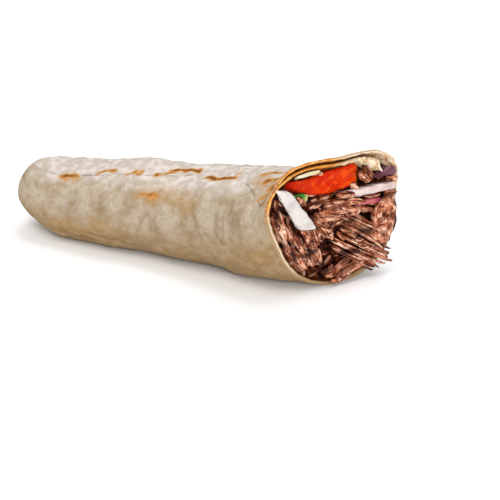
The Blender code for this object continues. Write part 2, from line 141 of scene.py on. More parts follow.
def wrap_section(s, angle):
    """The outline's section at s: its middle's y and z, and its half sizes along y and z at an angle. They grow
    from the round tuck to the body's oval, and then blend by soft steps into the mouth's middle and radius."""
    tuck = np.clip(s / TUCKED_SHARE, 0.0, 1.0)
    half_height = TUCK_HALF_HEIGHT + (BODY_HALF_HEIGHT - TUCK_HALF_HEIGHT) * smooth(s / BODY_GROWTH_SHARE)
    half_height = half_height * np.sqrt(np.clip(1.0 - (1.0 - tuck) ** TUCK_ROUNDNESS, 0.0, 1.0))
    body_z = half_height + TUCK_LIFT * (1.0 - tuck) ** TUCK_LIFT_POWER - RESTING_DEPTH
    side_flare = flare(s, SIDE_FLARE_START)
    top_flare = (1.0 - LIP_SHARE) * flare(s, TOP_FLARE_START) + LIP_SHARE * flare(s, LIP_START)
    radius = mouth_radius(angle)
    half_y = (1.0 - side_flare) * half_height * WIDTH_TO_HEIGHT + side_flare * radius
    half_z = (1.0 - top_flare) * half_height + top_flare * radius
    return side_flare * MOUTH_CENTRE_Y, (1.0 - top_flare) * body_z + top_flare * MOUTH_CENTRE_Z, half_y, half_z


def wrap_points(s, angle, depth=0.0, floor=0.0):
    """Points at a depth below the wrap's outline, no lower than floor above the resting plane."""
    s, angle, depth = np.broadcast_arrays(np.float64(s), np.float64(angle), np.float64(depth))
    middle_y, middle_z, half_y, half_z = wrap_section(s, angle)
    arm_y, arm_z = np.cos(np.radians(angle)) * half_y, np.sin(np.radians(angle)) * half_z
    arm = np.maximum(np.hypot(arm_y, arm_z), 1e-9)
    kept = 1.0 - np.minimum(depth + dents(s, angle), 0.9 * arm) / arm
    y = middle_y + arm_y * kept
    z = np.maximum(middle_z + arm_z * kept, floor)
    x = CLOSED_X + s * (MOUTH_X - CLOSED_X) + s * s * CUT_SLANT * y
    return np.stack([x, y, z], axis=-1)


def flap_angle(s):
    """Where the sheet's outer edge lies: near the top, swinging to the front at the mouth."""
    dip = FLAP_DIP * np.exp(-(((s - FLAP_DIP_AT) / FLAP_DIP_SPREAD) ** 2))
    return FLAP_ANGLE - dip + FLAP_SWING * smooth((s - FLAP_SWING_START) / (1.0 - FLAP_SWING_START))


def last_turn(s):
    """How far round the sheet's inner edge lies."""
    return BODY_TURN + MOUTH_EXTRA_TURN * smooth((s - EXTRA_TURN_START) / (1.0 - EXTRA_TURN_START))


def fold_share(s, turn):
    """How far the sheet is folded back on itself: fully at its inner edge in the mouth."""
    return smooth((s - FOLD_START) / (1.0 - FOLD_START)) * smooth((turn - last_turn(s)) / FOLD_LENGTH + 1.0)


def sheet_depth(s, turn):
    """How deep the sheet's outer face lies: it slips under the flap, and its folded end curls inwards."""
    gap_growth = smooth((s - GAP_GROWTH_START) / (1.0 - GAP_GROWTH_START))
    pitch = SHEET + BODY_LAYER_GAP + (MOUTH_LAYER_GAP - BODY_LAYER_GAP) * gap_growth
    return pitch * smooth((turn - RAMP_START) / RAMP_LENGTH) + FOLD_CURL * fold_share(s, turn)


def sheet_thickness(s, turn):
    """The sheet's thickness, which grows where its end is folded double."""
    return SHEET + FOLD_THICKNESS * fold_share(s, turn)


def on_cut(a, b, out=0.0):
    """Points a across and b up from the cut's centre, and out of the cut plane, all in mm."""
    a, b, out = np.broadcast_arrays(np.float64(a), np.float64(b), np.float64(out))
    return CUT_CENTRE + (a[..., None] * ACROSS + b[..., None] * UP + out[..., None] * OUT) * MM


def ripple(points, wavelength, seed, waves=24):
    """Soft random relief, mostly from -1 to 1: the sum of plane waves in random directions near one wavelength."""
    draw = np.random.default_rng(seed)
    total = np.zeros(points.shape[:-1])
    for k in range(waves):
        direction = draw.normal(size=points.shape[-1])
        direction /= np.linalg.norm(direction)
        length = wavelength * draw.uniform(0.7, 1.5)
        total += np.sin(points @ direction * (2.0 * math.pi / length) + draw.uniform(0.0, 2.0 * math.pi))
    return total / math.sqrt(waves / 2.0)


class Shell:
    """Points and faces gathered for one piece, with named shares from 0 to 1 at each point for its material."""

    def __init__(self, *share_names):
        self.points, self.quads, self.triangles, self.count = [], [], [], 0
        self.shares = {name: [] for name in share_names}

    def add_points(self, points, **shares):
        """Adds an array of points and returns the array of their indices."""
        places = self.count + np.arange(points[..., 0].size).reshape(points.shape[:-1])
        self.points.append(points.reshape(-1, 3))
        for name, gathered in self.shares.items():
            gathered.append(np.broadcast_to(np.float64(shares.get(name, 0.0)), points.shape[:-1]).ravel())
        self.count += places.size
        return places

    def join(self, rows):
        """Quads over a grid of indices."""
        corners = (rows[:-1, :-1], rows[:-1, 1:], rows[1:, 1:], rows[1:, :-1])
        self.quads.append(np.stack(corners, axis=-1).reshape(-1, 4))

    def fan(self, ring, tip):
        """Triangles from a closed ring of indices to one point."""
        tips = np.full(len(ring), tip)
        self.triangles.append(np.stack([ring, np.roll(ring, -1), tips], axis=-1))

    def tube(self, points, **shares):
        """A closed tube through rings of points, with its two ends drawn to their middles."""
        rows = self.add_points(points, **shares)
        self.join(np.concatenate([rows, rows[:, :1]], axis=1))
        for end in (0, -1):
            end_shares = {name: np.float64(share)[end].mean() for name, share in shares.items() if np.ndim(share)}
            tip = self.add_points(points[end].mean(axis=0)[None], **{**shares, **end_shares})
            self.fan(rows[end], tip[0])

    def tree(self):
        """Its faces as a tree that rays can be cast at."""
        faces = [row.tolist() for kind in (self.quads, self.triangles) if kind for row in np.concatenate(kind)]
        return BVHTree.FromPolygons(np.concatenate(self.points).tolist(), faces)

    def piece(self, name, finish, slot, *replaced):
        """The finished piece, with its faces turned outwards, riding on the wrap."""
        points = np.concatenate(self.points)
        faces = [np.concatenate(kind) for kind in (self.quads, self.triangles) if kind]
        corners = np.concatenate([kind.ravel() for kind in faces])
        sizes = np.concatenate([np.full(len(kind), kind.shape[1]) for kind in faces])
        mesh = bpy.data.meshes.new(name)
        mesh.vertices.add(len(points))
        mesh.vertices.foreach_set("co", points.astype(np.float32).ravel())
        mesh.loops.add(len(corners))
        mesh.loops.foreach_set("vertex_index", corners.astype(np.int32))
        mesh.polygons.add(len(sizes))
        mesh.polygons.foreach_set("loop_start", (np.cumsum(sizes) - sizes).astype(np.int32))
        mesh.update(calc_edges=True)
        for share_name, gathered in self.shares.items():
            layer = mesh.attributes.new(share_name, "FLOAT", "POINT")
            layer.data.foreach_set("value", np.concatenate(gathered).astype(np.float32))
        work = bmesh.new()
        work.from_mesh(mesh)
        bmesh.ops.recalc_face_normals(work, faces=work.faces[:])
        work.to_mesh(mesh)
        work.free()
        mesh.shade_smooth()
        mesh.materials.append(finish)
        made = bpy.data.objects.new(name, mesh)
        bpy.context.scene.collection.objects.link(made)
        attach(made, "root")
        if replaced:
            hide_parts(*replaced)
        return made


class Reading:
    """A number or colour that varies over a surface: one node's socket. Sums on it add their Math nodes."""

    def __init__(self, finish, socket):
        self.finish, self.socket = finish, socket

    def sum(self, operation, *terms):
        return self.finish.node("ShaderNodeMath", {"operation": operation}, dict(enumerate(terms)))

    def __add__(self, other):
        return self.sum("ADD", self, other)

    __radd__ = __add__

    def __sub__(self, other):
        return self.sum("SUBTRACT", self, other)

    def __rsub__(self, other):
        return self.sum("SUBTRACT", other, self)

    def __mul__(self, other):
        return self.sum("MULTIPLY", self, other)

    __rmul__ = __mul__

    def step(self, low, high):
        """0 below low, 1 above high and a soft step between them."""
        values = {"Value": self, "From Min": low, "From Max": high}
        return self.finish.node("ShaderNodeMapRange", {"interpolation_type": "SMOOTHSTEP"}, values)


class Finish:
    """A material being made. Its nodes come from one method, and its numbers are written as sums."""

    def __init__(self, name, **constants):
        self.material = bpy.data.materials.new(name)
        self.material.use_nodes = True
        self.nodes, self.links = self.material.node_tree.nodes, self.material.node_tree.links
        self.shader = self.nodes["Principled BSDF"]
        self.place = self.node("ShaderNodeTexCoord", output="Object")
        self.normal = None
        for socket, value in constants.items():
            self.shader.inputs[socket.replace("_", " ")].default_value = value

    def node(self, kind, settings=None, values=None, output=0):
        """A node with its settings, such as an operation, and its sockets' values or links."""
        made = self.nodes.new(kind)
        for setting, value in (settings or {}).items():
            setattr(made, setting, value)
        for socket, value in (values or {}).items():
            if isinstance(value, Reading):
                self.links.new(value.socket, made.inputs[socket])
            else:
                made.inputs[socket].default_value = value
        return Reading(self, made.outputs[output])

    def share(self, name):
        """A share that the piece holds at each point."""
        return self.node("ShaderNodeAttribute", {"attribute_name": name}, output="Fac")

    def noise(self, size, detail=3.0, stretch=None):
        """Cloudy noise from 0 to 1 with features of this size in metres, longer along a direction where stretched."""
        place = self.place
        if stretch:
            place = self.node("ShaderNodeMapping", {}, {"Vector": place, "Rotation": stretch[0], "Scale": stretch[1]})
        return self.node("ShaderNodeTexNoise", {}, {"Vector": place, "Scale": 1.0 / size, "Detail": detail})

    def cells(self, size, feature="F1"):
        """The distance to the nearest of scattered points, this far apart in metres."""
        values = {"Vector": self.place, "Scale": 1.0 / size}
        return self.node("ShaderNodeTexVoronoi", {"feature": feature}, values)

    def mix(self, share, first, second):
        """A colour between two colours."""
        pair = [colour if isinstance(colour, Reading) else (*colour, 1.0) for colour in (first, second)]
        return self.node("ShaderNodeMix", {"data_type": "RGBA"}, {0: share, 6: pair[0], 7: pair[1]}, output=2)

    def bump(self, height, distance, strength=1.0):
        """Raises the surface by up to distance where height is 1, on top of the bumps before."""
        values = {"Height": height, "Distance": distance, "Strength": strength}
        if self.normal:
            values["Normal"] = self.normal
        self.normal = self.node("ShaderNodeBump", {}, values)

    def done(self, **readings):
        """Joins the readings to the shader and returns the material."""
        if self.normal:
            readings["Normal"] = self.normal
        for socket, reading in readings.items():
            self.links.new(reading.socket, self.shader.inputs[socket.replace("_", " ")])
        return self.material


def tint(red, green, blue):
    """A linear colour from its usual values from 0 to 255."""
    return tuple(((value / 255.0 + 0.055) / 1.055) ** 2.4 for value in (red, green, blue))


# The wrap's length and its radius in mm, where its surface is measured along and round
LENGTH, GIRTH_RADIUS = 148.2, 22.0

# Where the bread is toasted: lines from point to point in (s, angle), with a half width in mm and a strength
TOAST_MARKS = [
    (((0.160, 117.0), (0.198, 114.0)), 1.9, 0.95),
    (((0.168, 122.0), (0.176, 128.0)), 1.0, 0.55),
    (((0.265, 112.0), (0.285, 108.5), (0.312, 106.0)), 0.9, 0.8),
    (((0.352, 112.0), (0.375, 108.0), (0.396, 105.0)), 0.9, 0.85),
    (((0.436, 107.0), (0.463, 102.0), (0.480, 96.0)), 1.0, 0.85),
    (((0.472, 94.0), (0.495, 90.0), (0.549, 89.0)), 1.2, 1.0),
    (((0.598, 103.0), (0.636, 105.5), (0.676, 102.0)), 1.9, 1.0),
    (((0.672, 99.0), (0.686, 93.0)), 0.9, 0.6),
    (((0.428, 141.0), (0.440, 136.0), (0.456, 135.0), (0.478, 140.0)), 1.1, 0.8),
    (((0.448, 139.0), (0.462, 139.5)), 1.0, 0.5),
    (((0.790, 103.0), (0.834, 98.0)), 1.5, 0.85),
    (((0.846, 117.0), (0.885, 111.0), (0.930, 101.0)), 1.7, 0.8),
    (((0.905, 127.0), (0.945, 117.0), (0.968, 108.0)), 1.7, 0.85),
    (((0.955, 148.0), (0.968, 138.0), (0.976, 124.0)), 1.5, 0.8),
    (((0.972, 152.0), (0.978, 136.0), (0.983, 115.0), (0.986, 92.0)), 1.9, 1.0),
    (((0.900, 138.0), (0.925, 133.0)), 1.4, 0.7),
    (((0.330, 58.0), (0.365, 52.0)), 1.4, 0.75),
    (((0.470, 28.0), (0.500, 34.0), (0.520, 33.0)), 1.6, 0.85),
    (((0.640, 62.0), (0.665, 54.0)), 1.2, 0.7),
    (((0.760, 20.0), (0.790, 26.0)), 1.7, 0.8),
    (((0.210, 18.0), (0.240, 10.0)), 1.5, 0.7),
    (((0.300, 268.0), (0.360, 276.0)), 2.2, 0.8),
    (((0.480, 290.0), (0.520, 282.0), (0.560, 284.0)), 2.4, 0.85),
    (((0.700, 262.0), (0.740, 272.0)), 2.0, 0.8),
    (((0.600, 330.0), (0.630, 322.0)), 1.6, 0.75),
]
SPOTS = [
    (((0.166, 121.0), (0.206, 123.0)), 3.0, 0.6),
    (((0.480, 130.0), (0.560, 140.0), (0.606, 150.0)), 4.5, 0.4),
    (((0.435, 138.0), (0.475, 141.0)), 3.4, 0.6),
    (((0.290, 186.0), (0.335, 192.0)), 4.0, 0.4),
    (((0.160, 200.0), (0.300, 205.0)), 5.0, 0.35),
    (((0.785, 106.0), (0.850, 118.0), (0.900, 122.0)), 3.4, 0.6),
    (((0.895, 118.0), (0.950, 108.0)), 4.5, 0.75),
    (((0.940, 128.0), (0.975, 112.0), (0.975, 88.0)), 3.6, 0.8),
    (((0.880, 200.0), (0.940, 204.0)), 4.0, 0.3),
    (((0.460, 30.0), (0.530, 36.0)), 5.0, 0.4),
    (((0.740, 18.0), (0.800, 30.0)), 5.0, 0.45),
    (((0.290, 270.0), (0.370, 278.0)), 6.0, 0.45),
    (((0.470, 288.0), (0.570, 282.0)), 7.0, 0.45),
    (((0.690, 264.0), (0.750, 272.0)), 6.0, 0.4),
]
# Creases, in the same way: lines in (s, angle) with a half width in mm and a strength, pressed in and darkened as
# painted shade.
CREASES = [
    (((0.273, 208.0), (0.339, 211.0), (0.409, 217.0), (0.455, 226.0)), 0.8, 1.0),
    (((0.164, 217.0), (0.210, 222.0), (0.293, 224.0)), 0.8, 0.8),
    (((0.603, 140.0), (0.631, 152.0), (0.653, 166.0), (0.677, 182.0)), 0.9, 0.45),
    (((0.737, 156.0), (0.747, 180.0)), 0.7, 0.5),
    (((0.772, 154.0), (0.786, 182.0)), 0.7, 0.5),
    (((0.824, 172.0), (0.830, 154.0), (0.866, 160.0), (0.886, 174.0)), 0.7, 0.45),
    (((0.439, 186.0), (0.454, 166.0)), 0.7, 0.5),
    (((0.467, 162.0), (0.486, 182.0)), 0.7, 0.5),
    (((0.489, 162.0), (0.508, 181.0)), 0.7, 0.4),
    (((0.216, 140.0), (0.232, 170.0)), 0.9, 0.35),
    (((0.297, 138.0), (0.320, 172.0)), 1.0, 0.35),
    (((0.868, 134.0), (0.938, 160.0)), 0.9, 0.4),
    (((0.480, 195.0), (0.560, 197.0)), 1.2, 0.4),
]


def lines_share(s, angle, marks):
    """How strongly marks cover each point: strength exp(-(distance to the line / half width)^2), the most of all."""
    x, y = s * LENGTH, np.radians(angle % FULL_TURN) * GIRTH_RADIUS
    found = np.zeros(np.broadcast(x, y).shape)
    for line, half_width, strength in marks:
        for (s0, angle0), (s1, angle1) in zip(line, line[1:]):
            x0, y0 = s0 * LENGTH, math.radians(angle0) * GIRTH_RADIUS
            along = np.array([s1 * LENGTH - x0, math.radians(angle1) * GIRTH_RADIUS - y0])
            share = np.clip(((x - x0) * along[0] + (y - y0) * along[1]) / (along @ along), 0.0, 1.0)
            away = np.hypot(x - x0 - share * along[0], y - y0 - share * along[1])
            found = np.maximum(found, strength * np.exp(-((away / half_width) ** 2)))
    return found


def blisters(points, count, low, high, height, seed):
    """Small domes height exp(-(distance / radius)^2) round points picked from the surface, with random radii."""
    draw = np.random.default_rng(seed)
    raised = np.zeros(points.shape[:-1])
    flat = points.reshape(-1, 3)
    for pick in draw.integers(0, len(flat), count):
        radius = draw.uniform(low, high)
        away = np.sum((points - flat[pick]) ** 2, axis=-1) / radius**2
        raised = np.maximum(raised, height * draw.uniform(0.3, 1.0) * radius / high * np.exp(-away))
    return raised


def gold_share(angle):
    """How golden the cut edge is round the mouth: fully at its left and top, not at all below and at the right."""
    return smooth((angle - 78.0) / 26.0) * smooth((184.0 - angle) / 24.0)


def add_bread():
    """The rolled sheet as a closed shell: an outer and an inner face, each a grid over s and the turn, and a cut
    edge between them. Blisters and soft relief raise the outer face and creases press it in. The two faces draw
    together at the sheet's edges, the flap's edge lies down on the layer below it, and random relief roughens the
    crumb of the cut edge."""
    tip = TUCKED_SHARE * (1.0 - np.cos(np.linspace(0.0, math.pi / 2.0, 27)[1:]))
    body = np.linspace(TUCKED_SHARE, 0.95, 126)[1:]
    lip = 1.0 - 0.05 * np.linspace(1.0, 0.0, 35)[1:] ** 1.3
    s = np.concatenate([tip, body, lip])[:, None]
    turn = np.linspace(0.0, 1.0, 241) * last_turn(s)
    angle = flap_angle(s) - turn
    from_edge = np.minimum(turn, last_turn(s) - turn)
    pinch = 0.38 * np.sqrt(1.0 - np.clip(from_edge / 7.0, 0.0, 1.0))
    near_flap = smooth(1.0 - turn / 24.0)
    upper_pinch, lower_pinch = pinch * (1.0 + 0.9 * near_flap), pinch * (1.0 - near_flap)
    thickness = sheet_thickness(s, turn) * (1.0 - 0.55 * near_flap**2)
    lying = (sheet_depth(s, FULL_TURN) - 0.55 * MM) * near_flap * smooth(s / 0.1)
    depth = sheet_depth(s, turn) * np.where(turn < FULL_TURN, smooth(s / FLOOR_SHARE), 1.0) + lying
    rounding = 0.28 * SHEET * (1.0 - np.sqrt(1.0 - 0.98 * np.clip((s - 0.994) / 0.006, 0.0, 1.0) ** 2))

    plain = wrap_points(s, angle, depth)
    shares = bread_shares(s, turn, angle, plain)
    outside = smooth((FULL_TURN - turn) / 20.0)
    lifted = outside * smooth(s / 0.1) * (0.4 + 0.6 * smooth((1.0 - s) / 0.02))
    wrinkled = np.exp(-(((s - 0.74) / 0.12) ** 2) - (((angle % FULL_TURN) - 165.0) / 24.0) ** 2)
    wrinkled = wrinkled + 0.5 * np.exp(-(((s - 0.46) / 0.06) ** 2) - (((angle % FULL_TURN) - 170.0) / 20.0) ** 2)
    stretched = plain * np.array([1.0, 0.3, 0.3])
    relief = 0.13 * ripple(plain, 9.0 * MM, 1) + 0.08 * ripple(plain, 3.5 * MM, 2) + 0.03 * ripple(plain, 1.5 * MM, 5)
    relief = relief + 0.30 * wrinkled * ripple(stretched, 4.0 * MM, 3)
    relief = relief * MM + blisters(plain, 300, 1.0 * MM, 3.2 * MM, 0.45 * MM, 4)
    relief = relief - 0.8 * MM * shares["crease_and_shade"] - 0.25 * MM * shares["toast"]
    outer_points = wrap_points(s, angle, depth + upper_pinch * thickness + rounding - relief * lifted)

    fold = fold_share(s, turn)
    corner = shares.pop("corner")
    fluffy = np.maximum(shares["fold"], corner)
    uneven = 0.10 * ripple(plain, 3.0 * MM, 6) + 0.55 * fluffy * ripple(plain, 2.6 * MM, 7)
    uneven = uneven * MM * smooth((s - 0.3) / 0.3) * smooth((last_turn(s) - turn) / 8.0) * smooth(turn / 8.0)
    inner_depth = depth + (1.0 - lower_pinch) * thickness - rounding - np.minimum(uneven, 0.2 * MM)
    inner_points = wrap_points(s, angle, inner_depth, floor=SHEET)

    bread = Shell(*shares, "crumb")
    outer = bread.add_points(outer_points, **shares)
    inner = bread.add_points(inner_points, **{**shares, "toast": 0.0, "spots": 0.0, "inside": 1.0, "fold": fluffy})
    bread.join(outer)
    bread.join(inner)
    across = np.linspace(0.0, 1.0, 7)[1:-1, None]
    edge_points = (1.0 - across[..., None]) * outer_points[-1] + across[..., None] * inner_points[-1]
    lumpy = 0.16 * ripple(edge_points, 1.5 * MM, 8) + 0.5 * fluffy[-1] * ripple(edge_points, 2.4 * MM, 9)
    raised = np.sin(math.pi * across) * (0.2 + lumpy + 1.5 * fold[-1])
    edge_points = edge_points + (raised * MM)[..., None] * OUT
    rim_shares = {name: share[-1] for name, share in shares.items()}
    rim_shares["crumb"] = smooth(across / 0.2) * smooth((0.8 - across) / 0.25)
    rim_shares["fold"] = fluffy[-1]
    # The cut edge's bottom takes the tan of low: painted shade.
    rim_shares["low"] = smooth((-0.72 - np.sin(np.radians(angle[-1]))) / 0.25)
    edge = bread.add_points(edge_points, **{**rim_shares, "toast": 0.0, "spots": 0.0})
    bread.join(np.concatenate([outer[-1:], edge, inner[-1:]]))
    for side in (0, -1):
        bread.join(np.stack([outer[:, side], inner[:, side]], axis=-1))
        chain = np.concatenate([outer[-1:, side], edge[:, side], inner[-1:, side]])
        bread.triangles.append(np.stack([np.full(len(chain) - 2, chain[0]), chain[1:-1], chain[2:]], axis=-1))
    point = bread.add_points(wrap_points(0.0, 0.0)[None])
    bread.fan(np.concatenate([outer[0], inner[0][::-1]]), point[0])
    bread.piece("rolled_bread", bread_finish(), "bread", "flatbread")


def bread_shares(s, turn, angle, plain):
    """The shares that the bread's material reads. Toast marks lie along their lines, which random waves bend."""
    outside = smooth((FULL_TURN + 6.0 - turn) / 6.0)
    corner = np.exp(-((((angle + 20.0) % FULL_TURN - 52.0) / 26.0) ** 2)) * smooth((s - 0.88) / 0.06)
    bent_s = s + 0.002 * ripple(plain, 5.0 * MM, 11)
    bent_angle = angle + 1.4 * ripple(plain, 5.0 * MM, 12)
    height = np.sin(np.radians(angle))
    rim = smooth((s - 0.990) / 0.010) * np.ones_like(angle)
    return {
        "toast": lines_share(bent_s, bent_angle, TOAST_MARKS) * outside,
        "spots": lines_share(bent_s, bent_angle, SPOTS) * outside,
        "crease_and_shade": lines_share(bent_s, bent_angle, CREASES) * outside,
        # low is a painted shade, tan and darker on the lower side, and top a painted light, paler on the top.
        "low": smooth((0.45 - height) / 1.1) * smooth((FULL_TURN - turn) / 20.0) ** 0.5,
        "top": smooth((height - 0.62) / 0.34) * outside * smooth((s - 0.01) / 0.09),
        "rim": rim,
        "inside": smooth((turn - FULL_TURN - 4.0) / 8.0),
        "gold": gold_share(angle % FULL_TURN) * np.ones_like(s),
        "fold": smooth((s - 0.86) / 0.08) * smooth((turn - last_turn(s)) / 30.0 + 2.0),
        "corner": corner,
    }


def bread_finish():
    """Floury, unevenly toasted flatbread: greyish cream with a soft mottle, paler on top as painted light, tan below
    and darker in its creases as painted shade, brown where it met the griddle, and brown from soaking inside, darkened
    further as painted shade. Its cut edge has a pale crumb between browned faces, golden at the mouth's left and top
    and tan at its bottom as painted shade."""
    bread = Finish("toasted flatbread", Roughness=0.92, Specular_IOR_Level=0.12)
    mottle = bread.noise(8.0 * MM, 5.0).step(0.36, 0.66)
    cloud = bread.noise(3.4 * MM, 4.0).step(0.38, 0.66)
    fine = bread.noise(1.3 * MM, 3.0).step(0.3, 0.72)
    colour = bread.mix(mottle, tint(178, 163, 143), tint(147, 127, 99))
    colour = bread.mix(cloud * 0.5, colour, tint(189, 177, 160))
    colour = bread.mix(fine * 0.4, colour, tint(146, 127, 103))
    # Painted light: the top is paler.
    colour = bread.mix(bread.share("top") * 0.8, colour, bread.mix(cloud, tint(182, 171, 162), tint(208, 200, 195)))
    # Painted shade: the lower side is tan and darker.
    colour = bread.mix(bread.share("low") * 0.85, colour, bread.mix(cloud, tint(148, 119, 80), tint(164, 137, 100)))
    flecks = (1.0 - bread.cells(5.5 * MM).step(0.08, 0.24)) * bread.noise(12.0 * MM).step(0.5, 0.6)
    colour = bread.mix(flecks * 0.45, colour, tint(136, 104, 70))
    broken = bread.noise(2.0 * MM, 4.0).step(0.3, 0.6) * 0.4 + 0.7
    colour = bread.mix(bread.share("spots") * broken, colour, tint(164, 124, 66))
    toast = bread.share("toast") * broken
    # Painted shade: the creases are darker.
    colour = bread.mix(bread.share("crease_and_shade") * 0.7, colour, tint(128, 104, 74))
    colour = bread.mix(toast.step(0.12, 0.55), colour, tint(180, 130, 72))
    colour = bread.mix(toast.step(0.5, 1.0), colour, tint(108, 60, 22))
    # The inner layers are brown from soaking, darkened further as painted shade of the wrap's inside.
    soaked_and_shaded = bread.mix(fine, tint(150, 84, 34), tint(110, 54, 22))
    colour = bread.mix(bread.share("inside"), colour, soaked_and_shaded)
    golden = bread.mix(fine, tint(206, 130, 48), tint(150, 82, 28))
    browned = bread.mix(bread.share("gold"), tint(172, 142, 104), golden)
    colour = bread.mix(bread.share("rim") * 0.9, colour, browned)
    golden = bread.mix(cloud, tint(222, 146, 56), tint(246, 200, 120))
    # The crumb is tan at the bottom of the cut edge: painted shade.
    plain = bread.mix(bread.share("low"), tint(232, 216, 190), tint(170, 128, 84))
    pale = bread.mix(bread.share("gold"), plain, golden)
    crumb = (bread.share("crumb") + fine * 0.5 - 0.25).step(0.35, 0.9)
    colour = bread.mix(crumb, colour, pale)
    folded = bread.mix(cloud, tint(222, 184, 138), tint(250, 232, 204))
    colour = bread.mix(bread.share("fold") * 0.9, colour, bread.mix(fine.step(0.55, 1.0) * 0.7, folded, tint(150, 100, 58)))
    bread.bump(cloud, 0.10 * MM)
    bread.bump(fine, 0.12 * MM)
    bread.bump(bread.noise(0.5 * MM, 2.0), 0.05 * MM)
    return bread.done(Base_Color=colour)


def core_depth(s, turn):
    """How deep the filling's side lies: below the sheet's innermost layer, whose end is a turn before its last."""
    layer = np.where(turn <= last_turn(s) - FULL_TURN, turn + FULL_TURN, turn)
    return sheet_depth(s, layer) + sheet_thickness(s, layer) + CORE_CLEARANCE


def core_ring(s, turn):
    """The filling's side at s."""
    return wrap_points(s, flap_angle(s) - turn, core_depth(s, turn), floor=SHEET + CORE_CLEARANCE)


def inside_room(points):
    """Points drawn towards the middle of their section where they lie outside the room for the filling. s solves
    x = CLOSED_X + s (MOUTH_X - CLOSED_X + s CUT_SLANT y), and the angle solves tan = (z / half_z) / (y / half_y)
    from the section's middle, each in a few rounds."""
    x, y, z = np.moveaxis(points, -1, 0)
    s, angle = 0.9 + 0.0 * x, 90.0 + 0.0 * x
    for _ in range(6):
        s = np.clip((x - CLOSED_X) / (MOUTH_X - CLOSED_X + s * CUT_SLANT * y), 0.0, 1.0)
    for _ in range(3):
        middle_y, middle_z, half_y, half_z = wrap_section(s, angle)
        angle = np.degrees(np.arctan2((z - middle_z) / half_z, (y - middle_y) / half_y))
    arm = np.hypot(np.cos(np.radians(angle)) * half_y, np.sin(np.radians(angle)) * half_z)
    limit = arm - dents(s, angle) - core_depth(s, (flap_angle(s) - angle) % FULL_TURN)
    scale = np.minimum(1.0, limit / np.maximum(np.hypot(y - middle_y, z - middle_z), 1e-6))
    kept_y = middle_y + (y - middle_y) * scale
    kept_z = np.maximum(middle_z + (z - middle_z) * scale, SHEET + CORE_CLEARANCE)
    return np.stack([x + s * s * CUT_SLANT * (kept_y - y), kept_y, kept_z], axis=-1)


# How far the filling hangs to the right and down over the rim for each millimetre out of the cut
OVERHANG_LEAN = 16.0 / 14.0 * ACROSS - 12.0 / 14.0 * UP


def kept_in_room(points):
    """Points kept inside the room for the filling. Beyond the cut a point slides back to it along the overhang's
    lean, is kept inside there, and slides out again."""
    beyond = np.maximum((points - CUT_CENTRE) @ OUT, 0.0)[..., None] * (OUT + OVERHANG_LEAN)
    return inside_room(points - beyond) + beyond


def add_meat_core():
    """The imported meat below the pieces: rings along the wrap, then an end face whose height is random relief."""
    turn = np.linspace(0.0, FULL_TURN, 181)[:-1]
    sides = core_ring(np.linspace(FLOOR_SHARE + 0.006, 0.982, 90)[:, None], turn)
    edge = sides[-1]
    middle = edge.mean(axis=0)
    scale = np.linspace(1.0, 0.03, 60)[1:, None, None]
    face = middle + (edge - middle) * scale
    height = -0.8 + 1.0 * ripple(face, 9.0 * MM, 21) + 0.6 * ripple(face, 3.0 * MM, 22)
    face = face + (height * (1.0 - scale[..., 0] ** 6) * MM)[..., None] * OUT
    core = Shell(*MEAT_SHARES)
    rings = np.concatenate([sides, face])
    place = rings / (0.8 * MM)
    # Low tone and no fibres colour the core near black: painted shade for the gaps between the pieces.
    core.tube(rings, ridge=0.0, tone=0.1, across=place[..., 0], up=place[..., 1], along=place[..., 2])
    core.piece("packed_meat", meat_finish("packed meat", 0.2, 0.2, 0.0), "meat", "meat")
    return core


MEAT_SHARES = ("ridge", "tone", "across", "up", "along", "crust")


def meat_finish(name, light, grooves, wet):
    """Roast meat: dark red brown in the grooves between its fibres and on the pieces' undersides, which is painted
    shade, tan and pink on their moist ridges with a pale painted highlight on the highest ones as strong as light,
    brown gravy in patches, and near black on the slice's roast edge and, as painted shade, over the dark gaps. Its
    noise reads the piece's own coordinates, which change slowly along the fibres."""
    meat = Finish(name, Specular_IOR_Level=0.10 + 0.05 * wet, Coat_Weight=0.04 * wet, Coat_Roughness=0.15)
    place = {"X": meat.share("across"), "Y": meat.share("up"), "Z": meat.share("along")}
    place = meat.node("ShaderNodeCombineXYZ", {}, place)
    fibre = meat.node("ShaderNodeTexNoise", {}, {"Vector": place, "Scale": 1.0, "Detail": 2.0})
    tone = meat.share("tone")
    patch = meat.noise(3.4 * MM, 3.0).step(0.36, 0.64)
    ridge = meat.share("ridge") * 0.9 + fibre * 0.9 + patch * 0.3 - 0.66
    # The grooves take the dark colour as painted shade, and the highest fibres a pale painted highlight, as strong as
    # light.
    dark = meat.mix(tone, tint(34, 7, 0), tint(82, 28, 8))
    body = meat.mix(tone.step(0.1, 0.8), tint(128, 56, 26), tint(206, 126, 92))
    colour = meat.mix(ridge.step(0.08, 0.45), dark, body)
    colour = meat.mix(ridge.step(0.42, 0.76) * (tone * 0.9 + 0.2) * light, colour, tint(255, 220, 192))
    gravy = meat.noise(2.4 * MM, 2.0).step(0.50, 0.66)
    colour = meat.mix(gravy * 0.6, colour, tint(130, 60, 12))
    # Near black over the slice's roast edge, and as painted shade over the dark gaps of the cut.
    colour = meat.mix(meat.share("crust"), colour, tint(36, 10, 4))
    meat.bump(fibre, grooves * MM)
    meat.bump(meat.noise(0.7 * MM, 3.0), 0.15 * MM)
    return meat.done(Base_Color=colour, Roughness=0.34 + patch * 0.3)


